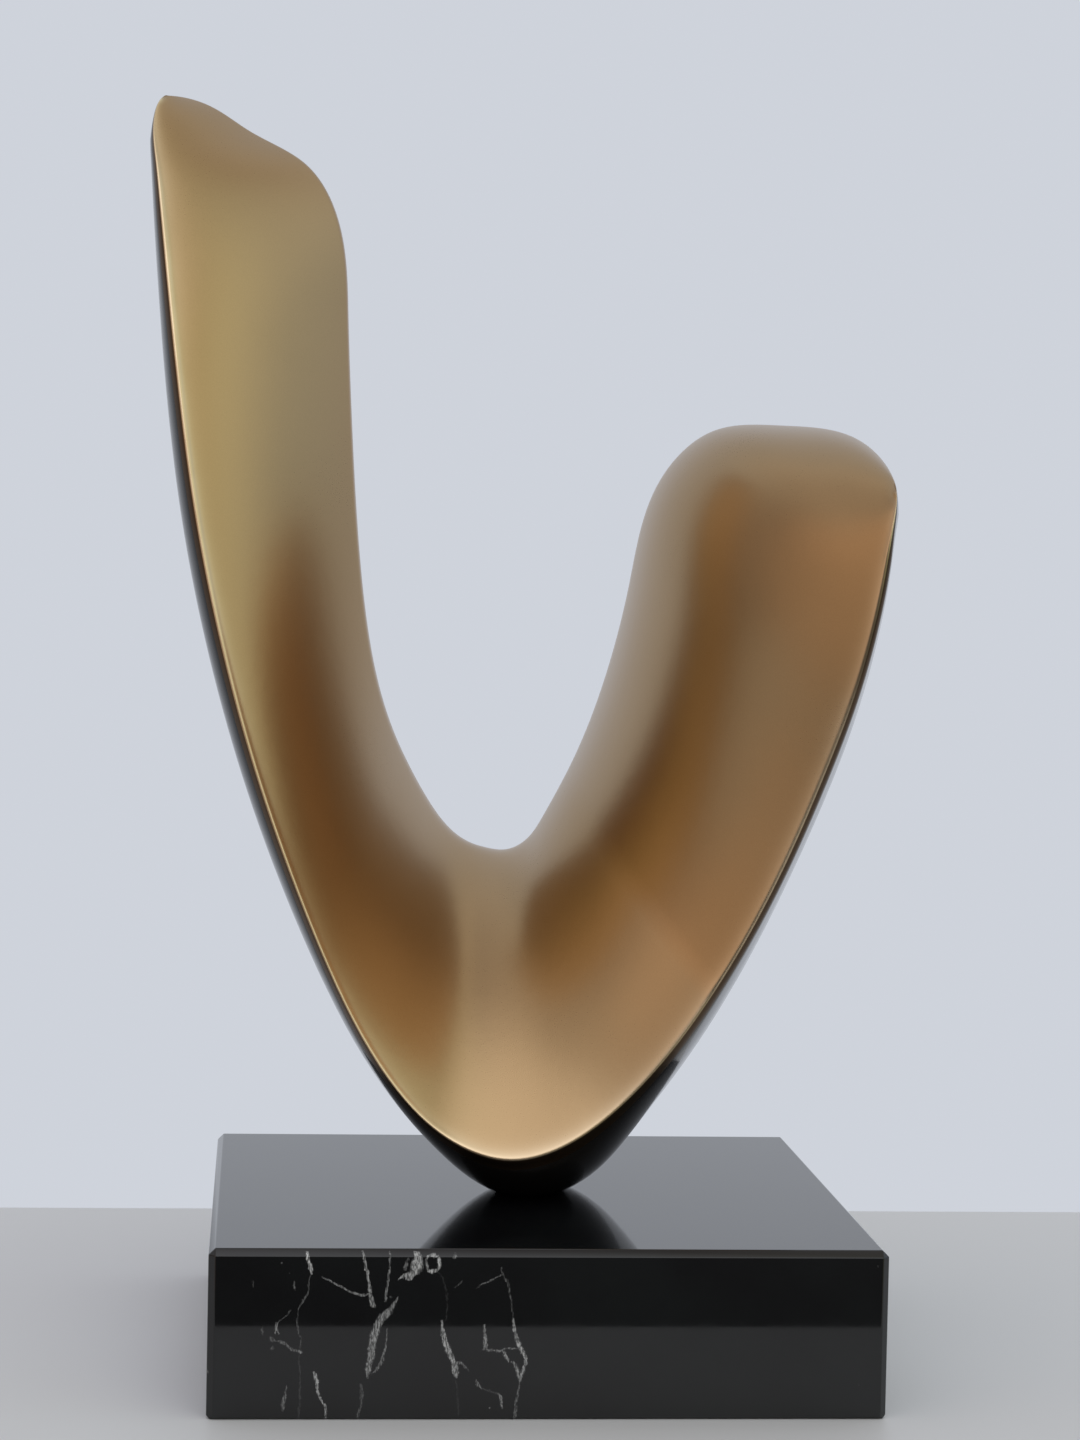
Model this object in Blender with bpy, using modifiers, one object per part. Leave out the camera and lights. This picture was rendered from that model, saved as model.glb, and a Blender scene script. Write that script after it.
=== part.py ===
"""Abstract V-shaped casting on a square plinth of black marble.

Metres, +Z up. The origin is the middle of the plinth's underside. The casting's scooped gold
face looks along -Y, turned a little clockwise as seen from above.
"""
import math

import bmesh
import bpy
import numpy as np

COLLECTION_NAME = "v_form_sculpture"

# Plinth: a sawn and polished block, its edges taken off by a narrow chamfer
PLINTH_SIDE = 0.200
PLINTH_HEIGHT = 0.050
PLINTH_CHAMFER = 0.002
UNDERSIDE_CHAMFER_SHARE = 0.5

# Where the casting stands: the middle of its foot, and its turn seen from above
FOOT_X = 0.0006
FOOT_Y = -0.005
FORM_TURN = math.radians(-10)
FOOT_GAP = 0.0003

# The casting's front view in its own frame, drawn in perspective from the eye point: x to the
# right, z above the plinth. It is drawn on a plain, shallower form, and each point is moved along
# its line of sight to where it lies on the real one, so the front view doesn't depend on depth.
EYE = (0.0963, -1.0508, 0.1971)
# The outline runs from the left tip down the rim, up to the right tip and back over the crest
LEFT_TIP = (-0.1220, 0.3464)
RIGHT_TIP = (0.1112, 0.2268)
# Sections across the casting from the left tip to the right one. Each row holds the rim's x and
# z, the crest's x and z, and how far the hull swells out past the rim.
SECTIONS = (
    (-0.1230, 0.3376, -0.1148, 0.3460, 0.0018),
    (-0.1216, 0.3240, -0.0975, 0.3374, 0.0030),
    (-0.1192, 0.3060, -0.0800, 0.3278, 0.0042),
    (-0.1163, 0.2820, -0.0693, 0.3102, 0.0052),
    (-0.1128, 0.2540, -0.0656, 0.2800, 0.0060),
    (-0.1074, 0.2180, -0.0637, 0.2420, 0.0065),
    (-0.0990, 0.1785, -0.0606, 0.2005, 0.0067),
    (-0.0853, 0.1320, -0.0538, 0.1561, 0.0066),
    (-0.0657, 0.0830, -0.0412, 0.1238, 0.0064),
    (-0.0415, 0.0388, -0.0270, 0.1092, 0.0062),
    (-0.0215, 0.0200, -0.0196, 0.1076, 0.0094),
    (-0.0020, 0.0145, -0.0120, 0.1075, 0.0151),
    (0.0170, 0.0211, -0.0055, 0.1110, 0.0125),
    (0.0345, 0.0358, -0.0005, 0.1183, 0.0072),
    (0.0592, 0.0685, 0.0108, 0.1412, 0.0042),
    (0.0780, 0.1035, 0.0195, 0.1663, 0.0028),
    (0.0915, 0.1360, 0.0262, 0.1950, 0.0026),
    (0.1006, 0.1620, 0.0356, 0.2288, 0.0020),
    (0.1060, 0.1830, 0.0522, 0.2446, 0.0015),
    (0.1090, 0.2000, 0.0750, 0.2466, 0.0012),
    (0.1107, 0.2135, 0.1002, 0.2415, 0.0010),
)

# Front-to-back depth of the plain form: it thins upwards, and as a section narrows
DEPTH_AT_FOOT = 0.078
DEPTH_LOST_PER_METRE = 0.070
DRAWN_DEPTH_WIDTH = 0.025
# How far back a front view's rim and crest are drawn, in shares of the plain depth
DRAWN_RIM_SHARE = -0.25
DRAWN_CREST_SHARE = 0.60

# The left arm, the bowl and the right arm, in this order. The left arm runs into the bowl, and
# the bowl into the right arm, between these sections.
LEFT_JOIN = (7.9, 12.5)
RIGHT_JOIN = (11.5, 16.5)
# Depth as a multiple of the plain one, and the width over which it fades in a narrow section
DEPTH_TIMES = (1.41, 1.67, 1.72)
DEPTH_WIDTHS = (0.035, 0.025, 0.035)
# The rim stands this far in front of the foot, and this further share of the depth
RIM_FORWARD = 0.016
RIM_FORWARD_SHARES = (0.28, 0.25, 0.03)
# Above this height the arms lean back, in metres per metre, and bend back, per metre of height
LEAN_FROM = 0.10
LEAN = (-0.10, 0, -0.35)
BEND = (0.85, 0, 0)
# The bowl's rim is pressed back by this much about a section, over so many sections
BOWL_BACK = 0.010
BOWL_SECTION = 11.6
BOWL_REACH = 2.8
# Where a section's crest lies in the front view, as a share of its depth
CREST_SHARES = (0.92, 0.97, 0.85)
# In the bowl, sections end on the crest this many sections further left
CREST_SHIFT = -1.2
CREST_SHIFT_SECTION = 11.4
CREST_SHIFT_REACH = 3
# A section narrower than this swells less, so that both tips close
SWELL_FULL_WIDTH = 0.020

# The rim's rounded lip
LIP_SIZE = 0.0015
LIP_SHARE = 0.03

# The gold face in a section, for each of the three parts: its slope at the rim, how sharply it
# turns back towards the crest (the powers of a superellipse), and its bulge
FACE_SLOPES = (0.80, 0.34, -0.05)
FACE_ACROSS_POWERS = (1.20, 1.43, 1.50)
FACE_BACK_POWERS = (1.20, 1.67, 2.05)
FACE_BULGES = (-0.45, -0.11, 0)
FACE_DEPTH_SHARE = 0.90
# Control points of the gold face, as shares of the width from the rim
FACE_SHARES = (0.07, 0.20, 0.36, 0.52, 0.67, 0.81, 0.92, 0.985)
# Control points behind it, round the crest and the black hull: share of the width from the rim,
# share of the swell outwards, share of the depth backwards
CREST_PROFILE = (
    (1.00, 0, 0.90),
    (0.99, 0, 0.97),
)
HULL_PROFILE = (
    (0.97, 0, 0.99),
    (0.86, 0, 1.02),
    (0.62, 0, 1.04),
    (0.34, 0, 0.98),
    (0.12, 0.22, 0.84),
    (0, 0.80, 0.60),
    (0, 1.20, 0.34),
    (0, 0.98, 0.155),
    (0, 0.47, 0.045),
)

# Fineness of the faceted form
RINGS = 66
POINTS_PER_CONTROL = 2
# Rings lie this share closer together towards the tips
RING_CROWDING = 0.6


class SmoothCurve:
    """Cubic curve without kinks through a list of points, open or closed."""

    def __init__(self, points, gaps):
        self.points = np.array(points, dtype=float)
        self.starts = np.concatenate(([0.0], np.cumsum(gaps)))
        count = len(self.points)
        system = np.zeros((count, count))
        target = np.zeros(self.points.shape)
        for left, gap in enumerate(gaps):
            right = (left + 1) % count
            rise = 3 * (self.points[right] - self.points[left]) / gap**2
            for here, there in ((left, right), (right, left)):
                system[here, here] += 2 / gap
                system[here, there] += 1 / gap
                target[here] += rise
        self.slopes = np.linalg.solve(system, target)

    def at(self, ways):
        """Points of the curve at these distances along it."""
        piece = np.searchsorted(self.starts, ways, side="right") - 1
        piece = np.clip(piece, 0, len(self.starts) - 2)
        following = (piece + 1) % len(self.points)
        gap = (self.starts[piece + 1] - self.starts[piece])[:, None]
        s = (ways - self.starts[piece])[:, None] / gap
        return ((2 * s**3 - 3 * s**2 + 1) * self.points[piece]
                + (s**3 - 2 * s**2 + s) * gap * self.slopes[piece]
                + (3 * s**2 - 2 * s**3) * self.points[following]
                + (s**3 - s**2) * gap * self.slopes[following])


def smooth_step(values, low, high):
    """From 0 below the low value to 1 above the high one, without a kink."""
    share = np.clip((values - low) / (high - low), 0, 1)
    return share**2 * (3 - 2 * share)


def part_shares(station):
    """How far each section belongs to the left arm, the bowl and the right arm."""
    left = 1 - smooth_step(station, *LEFT_JOIN)
    right = smooth_step(station, *RIGHT_JOIN)
    return np.stack((left, 1 - left - right, right))


def plain_depth(width, height, fading_width):
    return (DEPTH_AT_FOOT - DEPTH_LOST_PER_METRE * height) * (1 - np.exp(-width / fading_width))


def front_and_depth(station, width, height):
    """How far back each section's rim lies, and the section's depth from there."""
    shares = part_shares(station)
    depth = plain_depth(width, height, np.dot(DEPTH_WIDTHS, shares))
    depth = depth * np.dot(DEPTH_TIMES, shares)
    up = np.maximum(height - LEAN_FROM, 0)
    lean = np.dot(LEAN, shares) * up + np.dot(BEND, shares) * up**2
    pressed = BOWL_BACK * np.exp(-((station - BOWL_SECTION) / BOWL_REACH)**2)
    front = lean + pressed - RIM_FORWARD - np.dot(RIM_FORWARD_SHARES, shares) * depth
    return front, depth


def along_sight(points, drawn_back, real_back):
    """Front-view points moved along their lines of sight to where they really lie."""
    eye = np.array((EYE[0], EYE[2]))
    share = (real_back - EYE[1]) / (drawn_back - EYE[1])
    return eye + (points - eye) * share[:, None]


def real_front_view():
    """Rim points and crest points of all sections, with a tip at both ends."""
    table = np.array(SECTIONS)
    rims, crests = table[:, 0:2], table[:, 2:4]
    width = np.linalg.norm(crests - rims, axis=1)
    height = (rims[:, 1] + crests[:, 1]) / 2
    drawn = plain_depth(width, height, DRAWN_DEPTH_WIDTH)
    station = np.arange(1, len(table) + 1)
    front, depth = front_and_depth(station, width, height)
    crest_back = front + np.dot(CREST_SHARES, part_shares(station)) * depth
    rims = along_sight(rims, DRAWN_RIM_SHARE * drawn - RIM_FORWARD, front)
    crests = along_sight(crests, DRAWN_CREST_SHARE * drawn - RIM_FORWARD, crest_back)
    tips = along_sight(np.array((LEFT_TIP, RIGHT_TIP)), np.full(2, -RIM_FORWARD), front[[0, -1]])
    return np.vstack((tips[:1], rims, tips[1:])), np.vstack((tips[:1], crests, tips[1:]))


def front_outline():
    """Closed front outline, and the way round it to each section's rim and crest."""
    rims, crests = real_front_view()
    points = np.vstack((rims, crests[-2:0:-1]))
    gaps = np.linalg.norm(np.roll(points, -1, axis=0) - points, axis=1)
    outline = SmoothCurve(points, gaps)
    rim_ways = outline.starts[:len(rims)]
    crest_ways = outline.starts[:len(rims) - 2:-1]
    return outline, rim_ways, crest_ways


def face_profile(share, station):
    """How far back the gold face lies at a share of the width, as a share of the depth."""
    parts = part_shares(station)
    slope = np.dot(FACE_SLOPES, parts)
    across_power = np.dot(FACE_ACROSS_POWERS, parts)
    back_power = np.dot(FACE_BACK_POWERS, parts)
    turned = 1 - (1 - share**across_power)**(1 / back_power)
    bulge = np.dot(FACE_BULGES, parts) * share * (1 - share)
    return FACE_DEPTH_SHARE * (slope * share + (1 - slope) * turned + bulge)


def section_controls(station, width, swell, depth):
    """Control points of every section, each as distances across, outwards and back."""
    lip = np.minimum(LIP_SIZE, LIP_SHARE * width)
    none = np.zeros_like(width)
    slope = np.dot(FACE_SLOPES, part_shares(station))
    rim_edge = [(-0.2 * lip, 0.6 * lip, 0.3 * lip + 0.01 * depth),
                (0.6 * lip, none, -0.5 * lip),
                (lip + 0.012 * width, none, -0.1 * lip + 0.02 * slope * depth)]
    face = [(share * width, none, face_profile(share, station) * depth) for share in FACE_SHARES]
    profile = [(across * width, outward * swell, back * depth)
               for across, outward, back in CREST_PROFILE + HULL_PROFILE]
    return np.array(rim_edge + face + profile)


def closed_b_spline(controls, points_per_control):
    """Smooth closed curve drawn by its control points, which run along the first axis."""
    before = np.roll(controls, 1, axis=0)
    after = np.roll(controls, -1, axis=0)
    later = np.roll(controls, -2, axis=0)
    steps = []
    for s in np.arange(points_per_control) / points_per_control:
        steps.append(((1 - s)**3 * before + (3 * s**3 - 6 * s**2 + 4) * controls
                      + (1 + 3 * s + 3 * s**2 - 3 * s**3) * after + s**3 * later) / 6)
    return np.stack(steps, axis=1).reshape(-1, *controls.shape[1:])


def form_rings(ring_count, points_per_control):
    """Points of the casting's surface: rings from the left tip to the right one."""
    outline, rim_ways, crest_ways = front_outline()
    last = len(SECTIONS) + 1
    unit_gaps = np.ones(last)
    ways = SmoothCurve(np.stack((rim_ways, crest_ways), axis=1), unit_gaps)
    swells = [row[4] for row in SECTIONS]
    swell_curve = SmoothCurve([[s] for s in (swells[0], *swells, swells[-1])], unit_gaps)

    share = np.arange(1, ring_count + 1) / (ring_count + 1)
    station = last * (share - RING_CROWDING * np.sin(2 * np.pi * share) / (2 * np.pi))
    shift_fade = np.exp(-((station - CREST_SHIFT_SECTION) / CREST_SHIFT_REACH)**2)
    rim_way = ways.at(station)[:, 0]
    crest_way = ways.at(station + CREST_SHIFT * shift_fade)[:, 1]
    rim = outline.at(rim_way)
    crest = outline.at(crest_way)
    small_step = 0.0001
    along = outline.at(rim_way + small_step) - outline.at(rim_way - small_step)
    along /= np.linalg.norm(along, axis=1)[:, None]
    outward = np.stack((along[:, 1], -along[:, 0]), axis=1)
    across = crest - rim
    width = np.linalg.norm(across, axis=1)
    across /= width[:, None]
    height = (rim[:, 1] + crest[:, 1]) / 2
    front, depth = front_and_depth(station, width, height)
    swell = swell_curve.at(station)[:, 0] * np.minimum(1, width / SWELL_FULL_WIDTH)

    controls = section_controls(station, width, swell, depth)
    distances = closed_b_spline(controls, points_per_control)
    inwards, outwards, back = distances[:, 0], distances[:, 1], distances[:, 2]
    x = rim[:, 0] + inwards * across[:, 0] + outwards * outward[:, 0]
    z = rim[:, 1] + inwards * across[:, 1] + outwards * outward[:, 1]
    return np.stack((x, front + back, z), axis=2)


def new_object(name, mesh, collection):
    obj = bpy.data.objects.new(name, mesh)
    collection.objects.link(obj)
    return obj


def material(name, color, roughness, metallic):
    made = bpy.data.materials.new(name)
    made.use_nodes = True
    shader = made.node_tree.nodes["Principled BSDF"]
    shader.inputs["Base Color"].default_value = (*color, 1)
    shader.inputs["Roughness"].default_value = roughness
    shader.inputs["Metallic"].default_value = metallic
    return made


def make_form(collection):
    """The V-shaped casting: a loft of unlike sections, cut flat where it stands."""
    rings = form_rings(RINGS, POINTS_PER_CONTROL)
    points_round, ring_count = rings.shape[:2]
    bm = bmesh.new()
    verts = [[bm.verts.new(rings[i, j]) for j in range(ring_count)] for i in range(points_round)]
    for i in range(points_round):
        here, there = verts[i], verts[(i + 1) % points_round]
        for j in range(ring_count - 1):
            bm.faces.new((here[j], here[j + 1], there[j + 1], there[j]))
    for j in (0, ring_count - 1):
        middle = bm.verts.new(rings[:, j].mean(axis=0))
        for i in range(points_round):
            bm.faces.new((verts[i][j], verts[(i + 1) % points_round][j], middle))
    everything = bm.verts[:] + bm.edges[:] + bm.faces[:]
    cut = bmesh.ops.bisect_plane(bm, geom=everything, plane_co=(0, 0, FOOT_GAP),
                                 plane_no=(0, 0, -1), clear_outer=True)
    foot_edges = [item for item in cut["geom_cut"] if isinstance(item, bmesh.types.BMEdge)]
    bmesh.ops.contextual_create(bm, geom=foot_edges)
    bmesh.ops.recalc_face_normals(bm, faces=bm.faces)
    mesh = bpy.data.meshes.new("v_form")
    bm.to_mesh(mesh)
    bm.free()
    mesh.shade_smooth()
    mesh.set_sharp_from_angle(angle=math.radians(40))
    obj = new_object("v_form", mesh, collection)
    obj.location = (FOOT_X, FOOT_Y, PLINTH_HEIGHT)
    obj.rotation_euler.z = FORM_TURN
    mesh.materials.append(material("satin_gold", (0.50, 0.34, 0.16), 0.35, 1))
    return obj


def make_plinth(collection):
    """The marble block under the casting."""
    bm = bmesh.new()
    bmesh.ops.create_cube(bm, size=1)
    bmesh.ops.scale(bm, vec=(PLINTH_SIDE, PLINTH_SIDE, PLINTH_HEIGHT), verts=bm.verts)
    weight = bm.edges.layers.float.new("bevel_weight_edge")
    for edge in bm.edges:
        is_under = all(vert.co.z < 0 for vert in edge.verts)
        edge[weight] = UNDERSIDE_CHAMFER_SHARE if is_under else 1
    mesh = bpy.data.meshes.new("plinth")
    bm.to_mesh(mesh)
    bm.free()
    obj = new_object("plinth", mesh, collection)
    obj.location.z = PLINTH_HEIGHT / 2
    chamfer = obj.modifiers.new("chamfer", "BEVEL")
    chamfer.limit_method = "WEIGHT"
    chamfer.width = PLINTH_CHAMFER
    chamfer.segments = 1
    mesh.materials.append(material("black_marble", (0.008, 0.009, 0.011), 0.06, 0))
    return obj


def main():
    for obj in list(bpy.data.objects):
        bpy.data.objects.remove(obj)
    collection = bpy.data.collections.new(COLLECTION_NAME)
    bpy.context.scene.collection.children.link(collection)
    make_plinth(collection)
    make_form(collection)


main()
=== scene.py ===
"""Looks of the V-shaped sculpture on its black marble plinth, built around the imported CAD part.

Metres, in the part's own frame: +Z up, the origin in the middle of the plinth's underside.
"""
import math

import bmesh
import bpy
import numpy as np
from mathutils import Matrix


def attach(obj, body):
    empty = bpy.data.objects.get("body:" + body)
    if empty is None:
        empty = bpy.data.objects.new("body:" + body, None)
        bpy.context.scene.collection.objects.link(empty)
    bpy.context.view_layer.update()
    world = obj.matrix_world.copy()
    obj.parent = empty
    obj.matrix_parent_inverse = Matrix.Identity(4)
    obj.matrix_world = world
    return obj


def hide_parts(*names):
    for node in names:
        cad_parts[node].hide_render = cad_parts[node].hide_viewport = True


# Plinth
PLINTH_SIDE = 0.200
PLINTH_HEIGHT = 0.050

# Where the casting stands: the middle of its foot, and its turn seen from above
FOOT_X = 0.0006
FOOT_Y = -0.005
FORM_TURN = math.radians(-10)
FOOT_GAP = 0.0003

# The casting's front view in its own frame, drawn in perspective from the eye point: x to the
# right, z above the plinth. It is drawn on a plain, shallower form, and each point is moved along
# its line of sight to where it lies on the real one, so the front view doesn't depend on depth.
EYE = (0.0963, -1.0508, 0.1971)
# The outline runs from the left tip down the rim, up to the right tip and back over the crest
LEFT_TIP = (-0.1220, 0.3464)
RIGHT_TIP = (0.1112, 0.2268)
# Sections across the casting from the left tip to the right one. Each row holds the rim's x and
# z, the crest's x and z, and how far the hull swells out past the rim.
SECTIONS = (
    (-0.1230, 0.3376, -0.1148, 0.3460, 0.0018),
    (-0.1216, 0.3240, -0.0975, 0.3374, 0.0030),
    (-0.1192, 0.3060, -0.0800, 0.3278, 0.0042),
    (-0.1163, 0.2820, -0.0693, 0.3102, 0.0052),
    (-0.1128, 0.2540, -0.0656, 0.2800, 0.0060),
    (-0.1074, 0.2180, -0.0637, 0.2420, 0.0065),
    (-0.0990, 0.1785, -0.0606, 0.2005, 0.0067),
    (-0.0853, 0.1320, -0.0538, 0.1561, 0.0066),
    (-0.0657, 0.0830, -0.0412, 0.1238, 0.0064),
    (-0.0415, 0.0388, -0.0270, 0.1092, 0.0062),
    (-0.0215, 0.0200, -0.0196, 0.1076, 0.0094),
    (-0.0020, 0.0145, -0.0120, 0.1075, 0.0151),
    (0.0170, 0.0211, -0.0055, 0.1110, 0.0125),
    (0.0345, 0.0358, -0.0005, 0.1183, 0.0072),
    (0.0592, 0.0685, 0.0108, 0.1412, 0.0042),
    (0.0780, 0.1035, 0.0195, 0.1663, 0.0028),
    (0.0915, 0.1360, 0.0262, 0.1950, 0.0026),
    (0.1006, 0.1620, 0.0356, 0.2288, 0.0020),
    (0.1060, 0.1830, 0.0522, 0.2446, 0.0015),
    (0.1090, 0.2000, 0.0750, 0.2466, 0.0012),
    (0.1107, 0.2135, 0.1002, 0.2415, 0.0010),
)

# Front-to-back depth of the plain form: it thins upwards, and as a section narrows
DEPTH_AT_FOOT = 0.078
DEPTH_LOST_PER_METRE = 0.070
DRAWN_DEPTH_WIDTH = 0.025
# How far back a front view's rim and crest are drawn, in shares of the plain depth
DRAWN_RIM_SHARE = -0.25
DRAWN_CREST_SHARE = 0.60

# The left arm, the bowl and the right arm, in this order. The left arm runs into the bowl, and
# the bowl into the right arm, between these sections.
LEFT_JOIN = (7.9, 12.5)
RIGHT_JOIN = (11.5, 16.5)
# Depth as a multiple of the plain one, and the width over which it fades in a narrow section
DEPTH_TIMES = (1.41, 1.67, 1.72)
DEPTH_WIDTHS = (0.035, 0.025, 0.035)
# The rim stands this far in front of the foot, and this further share of the depth
RIM_FORWARD = 0.016
RIM_FORWARD_SHARES = (0.28, 0.25, 0.03)
# Above this height the arms lean back, in metres per metre, and bend back, per metre of height
LEAN_FROM = 0.10
LEAN = (-0.10, 0, -0.35)
BEND = (0.85, 0, 0)
# The bowl's rim is pressed back by this much about a section, over so many sections
BOWL_BACK = 0.010
BOWL_SECTION = 11.6
BOWL_REACH = 2.8
# Where a section's crest lies in the front view, as a share of its depth
CREST_SHARES = (0.92, 0.97, 0.85)
# In the bowl, sections end on the crest this many sections further left
CREST_SHIFT = -1.2
CREST_SHIFT_SECTION = 11.4
CREST_SHIFT_REACH = 3
# A section narrower than this swells less, so that both tips close
SWELL_FULL_WIDTH = 0.020

# The rim's rounded lip
LIP_SIZE = 0.0015
LIP_SHARE = 0.03

# The gold face in a section, for each of the three parts: its slope at the rim, how sharply it
# turns back towards the crest (the powers of a superellipse), and its bulge
FACE_SLOPES = (0.80, 0.34, -0.05)
FACE_ACROSS_POWERS = (1.20, 1.43, 1.50)
FACE_BACK_POWERS = (1.20, 1.67, 2.05)
FACE_BULGES = (-0.45, -0.11, 0)
FACE_DEPTH_SHARE = 0.90
# Control points of the gold face, as shares of the width from the rim
FACE_SHARES = (0.07, 0.20, 0.36, 0.52, 0.67, 0.81, 0.92, 0.985)
# Control points behind it, round the crest and the black hull: share of the width from the rim,
# share of the swell outwards, share of the depth backwards
CREST_PROFILE = (
    (1.00, 0, 0.90),
    (0.99, 0, 0.97),
)
HULL_PROFILE = (
    (0.97, 0, 0.99),
    (0.86, 0, 1.02),
    (0.62, 0, 1.04),
    (0.34, 0, 0.98),
    (0.12, 0.22, 0.84),
    (0, 0.80, 0.60),
    (0, 1.20, 0.34),
    (0, 0.98, 0.155),
    (0, 0.47, 0.045),
)
LIP_CONTROLS = 3

# Fineness of the smooth form
RINGS = 300
POINTS_PER_CONTROL = 10
# Rings lie this share closer together towards the tips
RING_CROWDING = 0.6
# Name of the skins' attribute that holds each point's distance from the rim's corner
CORNER_DISTANCE = "corner_distance"
# Colour of the painted highlight that lightens the gold just inside the rim's corner
PAINTED_HIGHLIGHT_GOLD = (0.70, 0.55, 0.36, 1)
# Colour of the painted shade on the lip's outer side, outside the rim's corner
PAINTED_SHADE_GOLD = (0.09, 0.055, 0.030, 1)
# The smooth form is drawn at this scale, so that it stays inside the CAD solid's flat facets
SKIN_SCALE = 0.9994
# The gold lacquer starts this many controls before the lip, and ends at the crest's back edge
GOLD_BEFORE_LIP = 0.2
# The rim's corner lies at this control. Inside it a painted highlight lightens the gold, which fades
# over this distance, and outside it painted shade darkens it.
CORNER_CONTROL = 1.0
PAINTED_HIGHLIGHT_FADE = 0.002
PAINTED_HIGHLIGHT_PEAK = 0.0006
PAINTED_SHADE_BAND = 0.0004

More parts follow.
